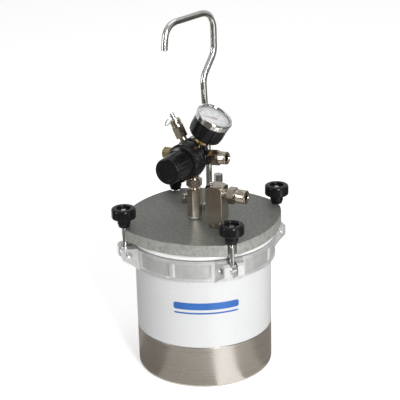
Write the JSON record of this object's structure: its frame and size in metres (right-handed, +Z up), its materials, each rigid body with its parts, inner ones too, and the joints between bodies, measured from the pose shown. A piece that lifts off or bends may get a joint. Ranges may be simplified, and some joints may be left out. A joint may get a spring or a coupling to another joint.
{
  "type": "pressure pot",
  "caption": "Small cylindrical pressure pot with a clamped lid on swing bolts, an air regulator and gauge, a safety valve, a fluid outlet with a dip tube, and a carrying hook.",
  "frame": {"origin": "centre of the cup's flat bottom", "axes": "+Z up along the cup; the fluid outlet points to +X and the regulator's knob to -Y"},
  "size_m": [0.1676, 0.1676, 0.3947],
  "materials": {
    "cup_steel": "turned satin, warm grey",
    "cup_enamel": "satin white enamel",
    "ring_aluminium": "die cast, lightly blasted",
    "lid_casting": "sand cast, matt grey",
    "gasket_rubber": "matt black",
    "white_ptfe": "waxy white",
    "pin_steel": "drawn",
    "bright_steel": "bright drawn",
    "knob_black": "gloss black moulding",
    "brass": "turned, slightly tarnished",
    "nickel": "satin nickel plate",
    "zinc": "bright zinc plate",
    "regulator_black": "gloss black",
    "gauge_chrome": "polished",
    "dial_white": "matt white with grey graduations",
    "needle_red": "matt red",
    "gauge_glass": "clear"
  },
  "bodies": {
    "root": {"cup_shell": "cup_steel", "dip_tube": "cup_steel", "cup_sleeve": "cup_enamel", "clamp_ring": "ring_aluminium", "lid": "lid_casting", "lid_gasket": "gasket_rubber", "regulator_diaphragm": "gasket_rubber", "post_seal": "white_ptfe", "pivot_pin_front_right": "pin_steel", "pivot_pin_rear_right": "pin_steel", "pivot_pin_rear_left": "pin_steel", "pivot_pin_front_left": "pin_steel", "gauge_port_plug": "pin_steel", "regulator_spring": "bright_steel", "poppet_spring": "bright_steel", "safety_valve_spring": "bright_steel", "gauge_socket": "brass", "bourdon_tube": "brass", "side_plug": "brass", "air_post": "nickel", "swivel_nut": "nickel", "outlet_block": "nickel", "outlet_fitting": "nickel", "spare_port_plug": "nickel", "inlet_fitting": "nickel", "safety_valve_body": "nickel", "hook_handle": "zinc", "hook_nut": "zinc", "bleed_valve_body": "zinc", "regulator_body": "regulator_black", "regulator_bonnet": "regulator_black", "valve_cap": "regulator_black", "gauge_case": "regulator_black", "gauge_bezel": "gauge_chrome", "gauge_dial": "dial_white", "gauge_lens": "gauge_glass"},
    "swing_bolt_front_right": {"swing_bolt_front_right": "bright_steel"},
    "knob_insert_front_right": {"knob_insert_front_right": "brass"},
    "bolt_knob_front_right": {"bolt_knob_front_right": "knob_black"},
    "swing_bolt_rear_right": {"swing_bolt_rear_right": "bright_steel"},
    "knob_insert_rear_right": {"knob_insert_rear_right": "brass"},
    "bolt_knob_rear_right": {"bolt_knob_rear_right": "knob_black"},
    "swing_bolt_rear_left": {"swing_bolt_rear_left": "bright_steel"},
    "knob_insert_rear_left": {"knob_insert_rear_left": "brass"},
    "bolt_knob_rear_left": {"bolt_knob_rear_left": "knob_black"},
    "swing_bolt_front_left": {"swing_bolt_front_left": "bright_steel"},
    "knob_insert_front_left": {"knob_insert_front_left": "brass"},
    "bolt_knob_front_left": {"bolt_knob_front_left": "knob_black"},
    "regulator_knob": {"regulator_knob": "knob_black"},
    "adjusting_screw": {"adjusting_screw": "pin_steel"},
    "poppet_valve": {"poppet_valve": "brass"},
    "safety_valve_stem": {"safety_valve_stem": "pin_steel"},
    "pull_ring": {"pull_ring": "bright_steel"},
    "gauge_needle": {"gauge_needle": "needle_red"},
    "bleed_screw": {"bleed_screw": "zinc"}
  },
  "joints": [
    {"name": "bolt_swing_front_right", "type": "hinge", "parent": "root", "child": "swing_bolt_front_right", "pos_m": [0.06258, -0.06258, 0.1442], "axis": [0.7071, 0.7071, 0], "range_deg": [0, 170]},
    {"name": "knob_lift_front_right", "type": "slide", "parent": "swing_bolt_front_right", "child": "knob_insert_front_right", "axis": [0, 0, 1], "range_m": [0, 0.00508]},
    {"name": "knob_turn_front_right", "type": "hinge", "parent": "knob_insert_front_right", "child": "bolt_knob_front_right", "pos_m": [0.06258, -0.06258, 0.19], "axis": [0, 0, 1], "range_deg": [0, 1440]},
    {"name": "bolt_swing_rear_right", "type": "hinge", "parent": "root", "child": "swing_bolt_rear_right", "pos_m": [0.06258, 0.06258, 0.1442], "axis": [-0.7071, 0.7071, 0], "range_deg": [0, 170]},
    {"name": "knob_lift_rear_right", "type": "slide", "parent": "swing_bolt_rear_right", "child": "knob_insert_rear_right", "axis": [0, 0, 1], "range_m": [0, 0.00508]},
    {"name": "knob_turn_rear_right", "type": "hinge", "parent": "knob_insert_rear_right", "child": "bolt_knob_rear_right", "pos_m": [0.06258, 0.06258, 0.19], "axis": [0, 0, 1], "range_deg": [0, 1440]},
    {"name": "bolt_swing_rear_left", "type": "hinge", "parent": "root", "child": "swing_bolt_rear_left", "pos_m": [-0.06258, 0.06258, 0.1442], "axis": [-0.7071, -0.7071, 0], "range_deg": [0, 170]},
    {"name": "knob_lift_rear_left", "type": "slide", "parent": "swing_bolt_rear_left", "child": "knob_insert_rear_left", "axis": [0, 0, 1], "range_m": [0, 0.00508]},
    {"name": "knob_turn_rear_left", "type": "hinge", "parent": "knob_insert_rear_left", "child": "bolt_knob_rear_left", "pos_m": [-0.06258, 0.06258, 0.19], "axis": [0, 0, 1], "range_deg": [0, 1440]},
    {"name": "bolt_swing_front_left", "type": "hinge", "parent": "root", "child": "swing_bolt_front_left", "pos_m": [-0.06258, -0.06258, 0.1442], "axis": [0.7071, -0.7071, 0], "range_deg": [0, 170]},
    {"name": "knob_lift_front_left", "type": "slide", "parent": "swing_bolt_front_left", "child": "knob_insert_front_left", "axis": [0, 0, 1], "range_m": [0, 0.00508]},
    {"name": "knob_turn_front_left", "type": "hinge", "parent": "knob_insert_front_left", "child": "bolt_knob_front_left", "pos_m": [-0.06258, -0.06258, 0.19], "axis": [0, 0, 1], "range_deg": [0, 1440]},
    {"name": "regulator_knob_turn", "type": "hinge", "parent": "root", "child": "regulator_knob", "pos_m": [-0.0045, -0.0082, 0.242], "axis": [-0.0785, -0.9969, 0], "range_deg": [0, 900]},
    {"name": "adjusting_screw_travel", "type": "slide", "parent": "root", "child": "adjusting_screw", "axis": [-0.0785, -0.9969, 0], "range_m": [0, 0.00313]},
    {"name": "poppet_travel", "type": "slide", "parent": "root", "child": "poppet_valve", "axis": [0.0785, 0.9969, 0], "range_m": [0, 0.001], "stiffness_N_per_m": 200, "springref_m": -0.002},
    {"name": "safety_valve_lift", "type": "slide", "parent": "root", "child": "safety_valve_stem", "axis": [-0.4619, 0.0363, 0.8862], "range_m": [0, 0.0025], "stiffness_N_per_m": 400, "springref_m": -0.003},
    {"name": "pull_ring_swing", "type": "hinge", "parent": "safety_valve_stem", "child": "pull_ring", "pos_m": [-0.02755, -0.0094, 0.28578], "axis": [0.0785, 0.9969, 0], "range_deg": [0, 120]},
    {"name": "gauge_needle_turn", "type": "hinge", "parent": "root", "child": "gauge_needle", "pos_m": [0.02301, -0.01337, 0.28944], "axis": [-0.5045, 0.0397, -0.8625], "range_deg": [0, 270], "stiffness_Nm_per_rad": 0.00005, "springref_deg": -5.73},
    {"name": "bleed_screw_turn", "type": "hinge", "parent": "root", "child": "bleed_screw", "pos_m": [0.0124, 0.017, 0.21], "axis": [0, 0, 1], "range_deg": [0, 540]}
  ],
  "couplings": [
    {"joint": "knob_turn_front_right", "follows": "knob_lift_front_right", "rad_per_m": 4947},
    {"joint": "knob_turn_rear_right", "follows": "knob_lift_rear_right", "rad_per_m": 4947},
    {"joint": "knob_turn_rear_left", "follows": "knob_lift_rear_left", "rad_per_m": 4947},
    {"joint": "knob_turn_front_left", "follows": "knob_lift_front_left", "rad_per_m": 4947},
    {"joint": "regulator_knob_turn", "follows": "adjusting_screw_travel", "rad_per_m": 5026.5}
  ]
}
